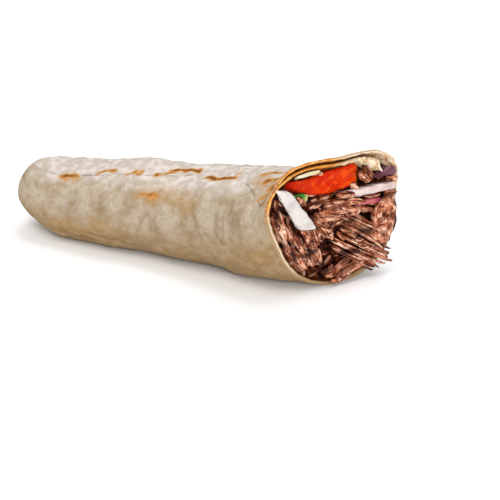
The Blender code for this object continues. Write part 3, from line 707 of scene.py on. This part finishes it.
# The pieces of meat that show in the cut, by group, in mm and degrees: the count, the middle across and up, the
# angle and its scatter, the spread along and across, the length, width and thickness, and the stand and rise
STRAND_GROUPS = [
    (8, (11.2, -13.6), (-34.0, 4.0), (4.0, 15.0), (29.0, 3.1, 2.9), (1.6, 9.0)),
    (1, (19.6, -5.6), (-101.0, 0.0), (0.0, 0.0), (21.0, 11.6, 5.0), (2.0, 0.0)),
    (9, (-17.8, -10.5), (-58.0, 26.0), (16.0, 20.5), (14.0, 5.2, 4.2), (-0.8, 4.0)),
    (5, (1.5, -23.6), (15.0, 12.0), (8.0, 5.0), (15.0, 3.6, 3.2), (1.0, 2.0)),
    (5, (-2.0, -2.0), (-24.0, 14.0), (15.0, 8.0), (13.0, 4.4, 3.4), (-0.8, 3.0)),
    (3, (12.2, 16.0), (-62.0, 14.0), (2.0, 6.0), (8.5, 3.0, 3.2), (-0.2, 0.0)),
    (3, (-30.0, 0.0), (-76.0, 8.0), (4.0, 4.5), (13.0, 3.4, 3.0), (-1.6, 0.0)),
    (3, (-6.0, 6.0), (-8.0, 10.0), (9.0, 3.0), (12.0, 3.4, 3.0), (-1.2, 2.0)),
]
SEED = 7


def strands():
    """Each piece of meat's group, place on the cut, angle, rise, size, bow and twist, drawn as the solids' are."""
    draw = random.Random(SEED)
    found = []
    for row, (count, middle, angle, spread, size, stand) in enumerate(STRAND_GROUPS):
        heading = math.radians(angle[0])
        for k in range(count):
            along = 0.5 * spread[0] * draw.uniform(-1.0, 1.0)
            across = spread[1] * (k / (count - 1) - 0.5) if count > 1 else 0.0
            a = middle[0] + along * math.cos(heading) - across * math.sin(heading)
            b = middle[1] + along * math.sin(heading) + across * math.cos(heading)
            scale = draw.uniform(0.85, 1.15) if count > 1 else 1.0
            bow, twist = 0.5 * draw.uniform(-1.0, 1.0), 20.0 * draw.uniform(-1.0, 1.0)
            turned = angle[0] + angle[1] * draw.uniform(-1.0, 1.0)
            out = stand[0] + 0.5 * draw.uniform(-1.0, 1.0)
            found.append((row, (a, b, out), turned, stand[1], [side * scale for side in size], bow, twist))
    return found


def turned_by(x, y, angle):
    """x and y turned by an angle in radians."""
    return x * np.cos(angle) - y * np.sin(angle), x * np.sin(angle) + y * np.cos(angle)


def shred(shell, place, angle, rise, size, bow, twist, seed, tone, grain, fibres=7, rows=34, columns=36):
    """A torn piece of meat. At t from -1 to 1 along it the section is a superellipse whose radius is
    1 + 0.2 (ridge - 0.6) + lumps + soft random relief. ridge = 1 - |g| where g is the mean of three waves round
    it whose numbers are near the number of fibres, so that fibres part and merge. Its ends close unevenly. grain
    is how far across and along its fibres the material's pattern changes, in mm."""
    draw = np.random.default_rng(seed)
    t = np.sin(np.linspace(-math.pi / 2.0, math.pi / 2.0, rows))[:, None]
    q = np.linspace(0.0, 2.0 * math.pi, columns + 1)[:-1][None, :]
    waves = 0.0
    for count in (fibres, max(2, fibres - 2), max(1, fibres // 2)):
        phase, drift = draw.uniform(0.0, 6.3), draw.uniform(-0.9, 0.9)
        waves = waves + np.sin(count * q + drift * t + 0.5 * np.sin(3.0 * t + phase) + phase) / 2.2
    ridge = 1.0 - np.abs(np.clip(waves, -1.0, 1.0)) ** 0.8
    lumps = 0.0
    for count in (2, 3, 4):
        phase = draw.uniform(0.0, 6.3, 2)
        lumps = lumps + 0.08 * np.sin(count * q + phase[0]) * np.sin(draw.uniform(2.0, 5.0) * t + phase[1])
    ends = 0.78 + 0.10 * np.sin(2.0 * q + draw.uniform(0.0, 6.3)) + 0.09 * np.sin(5.0 * q + draw.uniform(0.0, 6.3))
    past = np.clip((np.abs(t) - ends) / (1.0 - ends), 0.0, 1.0)
    radius = (1.0 + 0.2 * (ridge - 0.6) + lumps) * np.sqrt(1.0 - 0.985 * past**2)
    cosine, sine, power = np.cos(q), np.sin(q), 2.0 / 2.4
    narrow = 1.0 - 0.3 * t * t
    y = radius * np.sign(cosine) * np.abs(cosine) ** power * size[1] / 2.0 * narrow
    z = radius * np.sign(sine) * np.abs(sine) ** power * size[2] / 2.0 * narrow
    x = t * size[0] / 2.0 + 0.0 * y
    grown = 1.0 + 0.12 / min(size[1:]) * ripple(np.stack([x, y, z], axis=-1), 1.4, seed % 997) * (1.0 - past)
    y, z = turned_by(y * grown, z * grown, np.radians(twist) * t)
    offset = draw.uniform(0.0, 50.0, 3)
    fibre = {"across": y / grain[0] + offset[0], "up": z / grain[0] + offset[1], "along": x / grain[1] + offset[2]}
    y = y + 0.05 * size[0] * draw.uniform(-1.0, 1.0) * (1.0 - t * t)
    z = z + bow * (1.0 - t * t)
    x, z = turned_by(x, z, math.radians(rise))
    x, y = turned_by(x, y, math.radians(angle))
    tone = np.clip(tone + 1.2 * lumps, 0.0, 1.0)
    # Each piece's underside, towards the core, is darkened here: painted shade.
    ridge = ridge * np.sqrt(1.0 - 0.9 * past) - 0.8 * smooth(0.35 - sine)
    a, b = place[0] + x, place[1] + y
    points = kept_in_room(on_cut(a, b, place[2] + z))
    shell.tube(points, ridge=ridge, tone=tone, crust=gap_shade(a, b), **fibre)


def gap_shade(a, b):
    """How much painted shade each point of the meat takes: 0.9 exp(-(its distance across the nearest shaded place)^4),
    the most of all.
    """
    away = [((a - x) / wide) ** 2 + ((b - y) / high) ** 2 for x, y, wide, high in GAP_SHADES]
    return 0.9 * np.exp(-np.min(away, axis=0) ** 2)


def beside(place, angle, along, across, out):
    """A place moved along and across an angle, and out of the cut, in mm."""
    x, y = turned_by(along, across, math.radians(angle))
    return (place[0] + x, place[1] + y, place[2] + out)


def flow_angle(a, b, pieces):
    """The direction of the fibres near a point: the mean of the pieces' angles, the nearest ones first."""
    weights = np.array([1.0 / (4.0 + (place[0] - a) ** 2 + (place[1] - b) ** 2) ** 2 for _, place, *_ in pieces])
    doubled = np.radians([2.0 * angle for _, _, angle, *_ in pieces])
    return math.degrees(0.5 * math.atan2(weights @ np.sin(doubled), weights @ np.cos(doubled)))


def meat_slice(shell, place, angle, size, bow, twist):
    """The cut slice at the right: a slab with a wavy face and a dark roast edge along its right side."""
    x, y, z = slab(2.9, 3.0, 64, 96)
    px, py, pz = bent(x, y, z, size, bow, twist, 0.15)
    at = np.stack([px, py, pz], axis=-1)
    relief = 0.30 * ripple(at, 4.0, 51) + 0.14 * ripple(at, 1.6, 52)
    pz = pz + relief * smooth(z + 0.3)
    py = py + 0.25 * ripple(at, 5.0, 53)
    crust = np.maximum(smooth((y - 0.52) / 0.28), smooth((np.abs(x) - 0.88) / 0.10) * 0.7)
    ridge = np.clip(0.62 + 0.5 * relief, 0.0, 1.0)
    tone = np.clip(0.55 + 0.35 * ripple(at, 4.5, 54), 0.0, 1.0)
    grain = {"across": px / 2.2, "up": py / 0.8, "along": pz}
    shell.tube(laid(px, py, pz, *place, angle, 0.0), ridge=ridge, tone=tone, crust=crust, **grain)


def in_gap(a, b):
    """Whether a place lies in one of the dark gaps, where the core shows between the pieces."""
    return any(((a - x) / wide) ** 2 + ((b - y) / high) ** 2 < 1.0 for x, y, wide, high in GAPS)


# The dark gaps in the cut: the middle across and up, and the half sizes, in mm
GAPS = [
    (1.5, -16.0, 6.5, 2.4),
    (-10.5, -18.5, 5.0, 2.2),
    (-10.5, 2.0, 2.2, 2.0),
    (11.0, -1.5, 4.0, 1.4),
    (-29.5, -8.0, 1.2, 3.0),
]

# Painted shade: places where the meat is coloured nearly black like the shaded gaps, by the middle across and up, and
# the half sizes, in mm
GAP_SHADES = [
    (-15.5, -12.2, 4.6, 1.6),
    (-23.5, -12.6, 1.8, 3.6),
    (-10.0, -21.5, 5.5, 2.4),
    (3.8, -16.4, 6.0, 1.6),
    (-7.4, -18.4, 3.0, 1.8),
    (2.4, -2.8, 3.4, 1.3),
    (10.8, -8.6, 4.0, 1.3),
    (-28.6, -8.0, 1.3, 4.0),
    (-30.6, 7.0, 1.6, 4.0),
    (-20.6, -19.8, 3.4, 1.4),
    (19.5, -13.8, 3.0, 1.4),
    (-5.5, -10.4, 2.6, 1.2),
    (-13.5, 4.4, 2.4, 1.0),
]

# Shreds lying beside the onion strips' inner ends: across, up and out, the angle, and the length and width
BESIDE_ONION = [
    (0.0, 9.4, 1.6, -8.0, 9.0, 3.0),
    (-1.5, 6.6, 1.8, -14.0, 10.0, 2.8),
    (5.0, 5.6, 2.2, -12.0, 9.0, 2.4),
    (2.5, 3.4, 1.6, -20.0, 9.0, 2.8),
    (13.0, 6.2, 1.8, -4.0, 8.0, 1.4),
    (-24.6, -2.2, -0.6, -66.0, 9.0, 3.2),
    (-21.4, -5.6, -0.4, -58.0, 8.5, 3.4),
    (-26.4, -6.8, -0.2, -70.0, 8.0, 3.0),
    (-17.0, -4.6, -0.2, -50.0, 7.0, 2.6),
    (-28.6, 5.4, -1.0, -72.0, 7.0, 2.2),
    (-30.8, -2.0, -0.8, -78.0, 8.0, 2.4),
    (-9.0, -19.0, -1.6, -40.0, 7.0, 2.2),
    (-6.0, 2.6, 0.4, -20.0, 9.0, 2.6),
    (23.8, 11.2, 0.2, -4.0, 6.5, 2.4),
    (23.4, 4.8, 0.4, -6.0, 7.0, 2.2),
    (16.5, 1.0, -0.6, -14.0, 8.0, 2.2),
    (11.0, 0.2, -0.2, -18.0, 9.0, 2.4),
]


def add_meat_pieces(core):
    """The fibre bundle, the slice and the torn lumps of the cut, then small shreds lying on them and the core."""
    lumps, fibres, scraps = Shell(*MEAT_SHARES), Shell(*MEAT_SHARES), Shell(*MEAT_SHARES)
    draw = random.Random(3)
    pieces = strands()
    heading_of_light = math.atan2(-11.0, 19.0)
    for row, place, angle, rise, size, bow, twist in pieces:
        if row == 0:
            for side in (-0.30, 0.0, 0.30):
                spot = beside(place, angle, draw.uniform(-1.5, 1.0), side * size[1], draw.uniform(-1.0, 0.5))
                width, thickness = draw.uniform(0.28, 0.44) * size[1], draw.uniform(0.5, 0.9) * size[2]
                thin = [size[0] * draw.uniform(0.82, 1.0), width, thickness]
                heading = math.radians(angle)
                tip = [spot[k] + 0.5 * thin[0] * (math.cos(heading), math.sin(heading))[k] for k in (0, 1)]
                past = max(0.0, tip[0] - (21.0 if tip[1] > -19.0 else 25.5)) / math.cos(heading)
                spot, thin[0] = beside(spot, angle, -0.5 * past, 0.0, 0.0), thin[0] - past
                turned, seed, tone = angle + draw.uniform(-3.5, 3.5), draw.randrange(10**6), draw.choice((0.05, 0.6, 1.0))
                # Fibres lying near a line through the bundle get the highest tone: a painted highlight band.
                off = (spot[0] + 2.3) * math.sin(heading_of_light) - (spot[1] + 9.3) * math.cos(heading_of_light)
                tone = 1.0 if abs(off) < 1.6 else 0.6 * tone
                shred(fibres, spot, turned, rise, thin, bow, 3.0 * twist, seed, tone, (0.5, 8.0), 5, 44, 22)
        elif row == 1:
            meat_slice(lumps, place, angle, size, bow, twist)
        else:
            if row == 2:
                angle = 0.5 * (angle + STRAND_GROUPS[2][2][0])
            halves = ((-0.22, 0.60), (0.26, 0.56)) if draw.random() < 0.7 else ((0.0, 1.0),)
            for side, share in halves:
                spot = beside(place, angle, draw.uniform(-1.0, 1.0), side * size[1], draw.uniform(-0.3, 0.7))
                part = [size[0] * draw.uniform(0.75, 1.0), share * size[1], size[2] * draw.uniform(0.75, 1.0)]
                turned, seed, tone = angle + draw.uniform(-12.0, 12.0), draw.randrange(10**6), draw.uniform(0.0, 1.0)
                shred(lumps, spot, turned, rise, part, bow, 2.0 * twist, seed, tone, (0.9, 3.0))

    surfaces = [shell.tree() for shell in (core, lumps, fibres)]
    for _ in range(170):
        a, b = draw.uniform(-34.0, 28.0), draw.uniform(-32.0, 21.0)
        spot, start = on_cut(a, b), Vector(on_cut(a, b, 20.0))
        outside = np.linalg.norm(inside_room(spot) - spot) > 0.0
        depths = [surface.ray_cast(start, Vector(-OUT), 26.0 * MM)[3] for surface in surfaces]
        depths = [depth for depth in depths if depth is not None]
        if outside or in_gap(a, b) or not depths:
            continue
        out = 20.0 - min(depths) / MM + draw.uniform(-0.5, 0.3)
        part = [draw.uniform(3.5, 8.5), draw.uniform(1.1, 2.6), draw.uniform(0.9, 1.7)]
        turned, rise = flow_angle(a, b, pieces) + draw.gauss(0.0, 24.0), draw.uniform(-12.0, 12.0)
        bow, twist = draw.uniform(-0.6, 0.6), draw.uniform(-60.0, 60.0)
        seed, tone = draw.randrange(10**6), draw.uniform(0.1, 1.0)
        shred(scraps, (a, b, out), turned, rise, part, bow, twist, seed, tone, (0.7, 3.5), 4, 16, 14)
    for a, b, out, angle, length, width in BESIDE_ONION:
        seed, tone = draw.randrange(10**6), draw.uniform(0.2, 0.8)
        shred(scraps, (a, b, out), angle, 3.0, (length, width, 0.8 * width), 0.3, 20.0, seed, tone, (0.7, 3.5), 5, 24, 20)
    lumps.piece("torn_meat", meat_finish("torn meat", 0.85, 0.15, 1.0), "meat")
    fibres.piece("meat_fibres", meat_finish("meat fibres", 1.0, 0.25, 1.0), "meat")
    scraps.piece("meat_shreds", meat_finish("meat shreds", 0.95, 0.2, 1.0), "meat")


def outline(squareness, count, closed=True):
    """A superellipse |x|^n + |y|^n = 1 as points evenly spaced along it, or its right half where it isn't closed."""
    fine = np.linspace(0.0, 2.0 * math.pi, 4001) if closed else np.linspace(-math.pi / 2.0, math.pi / 2.0, 4001)
    x = np.sign(np.cos(fine)) * np.abs(np.cos(fine)) ** (2.0 / squareness)
    y = np.sign(np.sin(fine)) * np.abs(np.sin(fine)) ** (2.0 / squareness)
    length = np.concatenate([[0.0], np.cumsum(np.hypot(np.diff(x), np.diff(y)))])
    even = np.linspace(0.0, length[-1], count + 1)
    even = even[:-1] if closed else even
    return np.interp(even, length, x), np.interp(even, length, y)


def slab(squareness, end_squareness, rows=72, columns=120):
    """A block with rounded edges as x from -1 to 1 along it, y across and z up, each on a grid of rows and columns:
    a superellipse section whose size falls to 0 at its two ends along another superellipse."""
    reach, x = outline(end_squareness, rows, closed=False)
    y, z = outline(squareness, columns)
    reach = np.clip(reach, 0.004, 1.0)[:, None]
    flat = np.ones((1, columns))
    return x[:, None] * flat, reach * y, reach * z


def bent(x, y, z, size, bow, twist, taper):
    """A strip of this size that bows up in the middle, twists along its length and thins at its ends."""
    narrow = 1.0 - taper * x * x
    y, z = turned_by(y * narrow * size[1] / 2.0, z * narrow * size[2] / 2.0, math.radians(twist) * x)
    return x * size[0] / 2.0, y, z + bow * (1.0 - x * x)


def laid(x, y, z, a, b, out, angle, rise):
    """Points of a piece lying on the cut at this angle, with its far end rising out of it."""
    x, z = turned_by(x, z, math.radians(rise))
    x, y = turned_by(x, y, math.radians(angle))
    points = on_cut(a + x, b + y, out + z)
    in_front = smooth((out + z - 0.3) / 0.6)[..., None]
    return in_front * points + (1.0 - in_front) * kept_in_room(points)


def sunk(x, y, z, a, b, out, angle, depth):
    """Points of a piece that runs into the wrap, with the middle of its outer end here."""
    x, y = turned_by(x, y, math.radians(angle))
    return kept_in_room(on_cut(a + x, b + y, out) + (0.5 * depth - z)[..., None] * MM * INWARD)


def add_tomato():
    """The tomato wedge: full at its right end and drawn out to a thin upper corner at its left end, with the cut
    flesh a little uneven and sunk in its middle."""
    size = (33.0, 10.4, 24.0)
    x, y, z = slab(7.0, 9.0)
    height = size[1] - 5.5 * np.maximum(0.0, 0.15 - x) - 0.5 * (1.0 - x)
    middle = 4.0 * np.maximum(0.0, -x) ** 2 - 0.25 * x - 0.6 * (y < 0.0) * (1.0 - x * x)
    px, py, pz = x * size[0] / 2.0, y * height / 2.0 + middle, z * size[2] / 2.0
    front = smooth((z - 0.9) / 0.1)
    place = np.stack([px, py, 0.0 * px], axis=-1)
    pz = pz + front * (0.35 * ripple(place, 5.0, 31) + 0.08 * ripple(place, 1.8, 32) - 0.4 * (1.0 - y * y))
    tomato = Shell("flesh", "left", "right")
    flesh = np.clip(front * (0.5 + 0.4 * ripple(place, 3.0, 33)), 0.0, 1.0)
    left, right = smooth(-x - 0.25), smooth((x - 0.66) / 0.34)
    tomato.tube(sunk(px, py, pz, -8.0, 15.8, 0.2, 4.0, 24.0), flesh=flesh, left=left, right=right)
    tomato.piece("tomato_flesh", tomato_finish(), "tomato", "tomato_wedge")


def tomato_finish():
    """Ripe wet tomato: deep orange red, more orange in its flesh, darker at its thin end and browner at its right."""
    tomato = Finish("ripe tomato", Roughness=0.3, Specular_IOR_Level=0.06)
    cloud = tomato.noise(4.0 * MM, 3.0).step(0.35, 0.65)
    colour = tomato.mix(cloud, tint(198, 30, 0), tint(216, 54, 0))
    colour = tomato.mix(tomato.share("flesh").step(0.55, 0.95) * 0.5, colour, tint(236, 92, 14))
    colour = tomato.mix(tomato.share("left") * 0.7, colour, tint(160, 22, 2))
    colour = tomato.mix(tomato.share("right") * 0.75, colour, tint(190, 84, 24))
    tomato.bump(tomato.noise(1.6 * MM, 2.0), 0.08 * MM)
    return tomato.done(Base_Color=colour)


def onion_finish(name, body, veined, vein_share):
    """Moist onion: a pale body with fine parallel veins along the strip and clouds of a second colour."""
    onion = Finish(name, Roughness=0.22, Specular_IOR_Level=0.45, Subsurface_Weight=0.15, Subsurface_Scale=0.002)
    values = {"W": onion.share("along") * 26.0, "Scale": 1.0, "Detail": 2.0}
    fine = onion.node("ShaderNodeTexNoise", {"noise_dimensions": "1D"}, values)
    cloud = onion.noise(5.0 * MM, 3.0).step(0.45, 0.7)
    colour = onion.mix(fine.step(0.45, 0.7) * vein_share, body, veined)
    colour = onion.mix(cloud * 0.5, colour, veined)
    onion.bump(fine, 0.10 * MM)
    onion.bump(onion.noise(1.5 * MM, 2.0), 0.06 * MM)
    return onion.done(Base_Color=colour)


def strip(name, size, squareness, form, place, finish, slot, node):
    """A strip of vegetable: a slab, bent and placed, with fine ribs 0.05 sin(24 y) mm along it and soft relief."""
    x, y, z = slab(squareness, 10.0)
    px, py, pz = bent(x, y, z, size, *form)
    at = np.stack([px, py, pz], axis=-1)
    pz = pz + np.sign(z) * (0.05 * np.sin(24.0 * y) + 0.10 * ripple(at, 4.0, 41)) * smooth(np.abs(z))
    py = py + 0.12 * ripple(at, 5.0, 42)
    shell = Shell("along", "end")
    shell.tube(place(px, py, pz), along=y + 0.15 * x, end=x)
    shell.piece(name, finish, slot, node)


def onion_front_form(x, y, z):
    """The front strip's form: ends cut aslant, wavy sides, wider below, a crowned face and a hollow above."""
    wide = 0.80 * y * (1.0 + 0.014 * x) + 0.08 * np.sin(1.3 * x)
    return x + 0.74 * y, wide, z + 0.5 * (1.0 - (y / 3.5) ** 2) - 0.4 * np.exp(-(((x + 4.0) / 2.5) ** 2))


def add_vegetables():
    """The onion strips and the cucumber piece."""
    form = (0.0, 3.0, 0.1)
    white = onion_finish("white onion", tint(226, 220, 214), tint(170, 160, 158), 0.55)
    strip("onion_front", (21.7, 7.0, 2.8), 4.5, (0.9, 6.0, 0.0),
          lambda x, y, z: laid(*onion_front_form(x, y, z), -24.2, 8.9, 2.3, -57.6, 2.0),
          white, "onion", "onion_strip_front")
    blush = onion_finish("blush onion", tint(232, 214, 208), tint(206, 160, 156), 0.4)
    strip("onion_back", (22.0, 3.8, 15.0), 4.0, form,
          lambda x, y, z: sunk(x, y + 0.4 * np.sin(x / 6.0), z, 14.6, 9.1, 3.0, -4.0, 15.0),
          blush, "onion", "onion_strip_back")
    cream = onion_finish("cream onion", tint(250, 242, 208), tint(232, 206, 140), 0.3)
    strip("onion_top", (10.5, 2.2, 10.0), 4.0, form,
          lambda x, y, z: sunk(x, y * (1.2 - 0.08 * x) + 0.2, z, -15.4, 21.3, 0.5, 2.0, 10.0),
          cream, "onion", "white_onion_piece")
    purple = onion_finish("red onion skin", tint(116, 56, 74), tint(34, 8, 18), 0.9)
    strip("red_onion", (12.0, 4.2, 10.0), 4.0, form,
          lambda x, y, z: sunk(x, y, z, 20.6, 14.9, 1.6, -4.0, 10.0), purple, "red_onion", "red_onion_piece")
    pink = onion_finish("pink onion", tint(212, 108, 116), tint(156, 60, 84), 0.6)
    strip("pink_onion", (13.0, 2.6, 8.0), 4.0, form,
          lambda x, y, z: sunk(x, y, z, 12.8, 3.6, 1.6, -5.0, 8.0), pink, "pink_onion", "pink_onion_strip")

    green = Finish("cucumber", Roughness=0.25, Specular_IOR_Level=0.4, Subsurface_Weight=0.1, Subsurface_Scale=0.002)
    skin = (green.share("end") + green.noise(2.0 * MM) * 0.5).step(0.35, 0.85)
    colour = green.mix(skin, tint(46, 120, 10), tint(190, 186, 110))
    green.bump(green.noise(1.2 * MM), 0.1 * MM)
    strip("cucumber", (7.0, 4.0, 9.0), 4.0, form,
          lambda x, y, z: sunk(x, y, z, -19.2, 11.8, 0.2, -6.0, 9.0),
          green.done(Base_Color=colour), "cucumber", "cucumber_piece")


def add_camera():
    """The camera of the photograph: 20 degrees to the right of the front and 27 degrees up."""
    azimuth, elevation, distance = math.radians(20.0), math.radians(27.0), 0.593
    back = Vector((math.sin(azimuth) * math.cos(elevation), -math.cos(azimuth) * math.cos(elevation), math.sin(elevation)))
    right = Vector((math.cos(azimuth), math.sin(azimuth), 0.0))
    up = back.cross(right)
    aim = Matrix((right, up, back)).transposed()
    yaw = Matrix.Rotation(-math.atan(52.89 / 1418.0), 3, "Y") @ Matrix.Rotation(math.atan(0.59 / 1418.0), 3, "X")
    camera = bpy.data.objects.new("camera", bpy.data.cameras.new("camera"))
    camera.data.lens = 1418.0 / 500.0 * 36.0
    camera.data.sensor_width = 36.0
    camera.matrix_world = Matrix.Translation(back * distance) @ (aim @ yaw).to_4x4()
    bpy.context.scene.collection.objects.link(camera)
    bpy.context.scene.camera = camera


def add_light(name, place, target, size, power):
    """A soft square light that shines from its place towards a point."""
    light = bpy.data.objects.new(name, bpy.data.lights.new(name, "AREA"))
    light.data.size = size
    light.data.energy = power
    light.location = place
    light.rotation_euler = (Vector(target) - Vector(place)).to_track_quat("-Z", "Y").to_euler()
    bpy.context.scene.collection.objects.link(light)


def add_studio():
    """A pale floor, soft light from above and in front, and a white room."""
    floor_mesh = bpy.data.meshes.new("floor")
    floor_mesh.from_pydata([(-3, -3, 0), (3, -3, 0), (3, 3, 0), (-3, 3, 0)], [], [(0, 1, 2, 3)])
    floor = bpy.data.objects.new("floor", floor_mesh)
    bpy.context.scene.collection.objects.link(floor)
    white = Finish("pale floor", Roughness=0.9)
    white.shader.inputs["Base Color"].default_value = (0.9, 0.9, 0.9, 1.0)
    floor_mesh.materials.append(white.material)
    add_light("key", (-0.25, -0.5, 0.9), (0.0, 0.0, 0.03), 0.5, 4.5)
    add_light("top", (0.1, 0.3, 1.0), (0.0, 0.0, 0.0), 0.8, 6.5)
    add_light("mouth", (0.55, -0.75, 0.5), CUT_CENTRE.tolist(), 0.35, 4.0)
    world = bpy.data.worlds.new("room")
    world.use_nodes = True
    world.node_tree.nodes["Background"].inputs["Color"].default_value = (1.0, 1.0, 1.0, 1.0)
    world.node_tree.nodes["Background"].inputs["Strength"].default_value = 0.5
    bpy.context.scene.world = world
    bpy.context.scene.view_settings.view_transform = "Standard"


def main():
    add_camera()
    add_bread()
    core = add_meat_core()
    add_meat_pieces(core)
    add_tomato()
    add_vegetables()
    add_studio()


main()
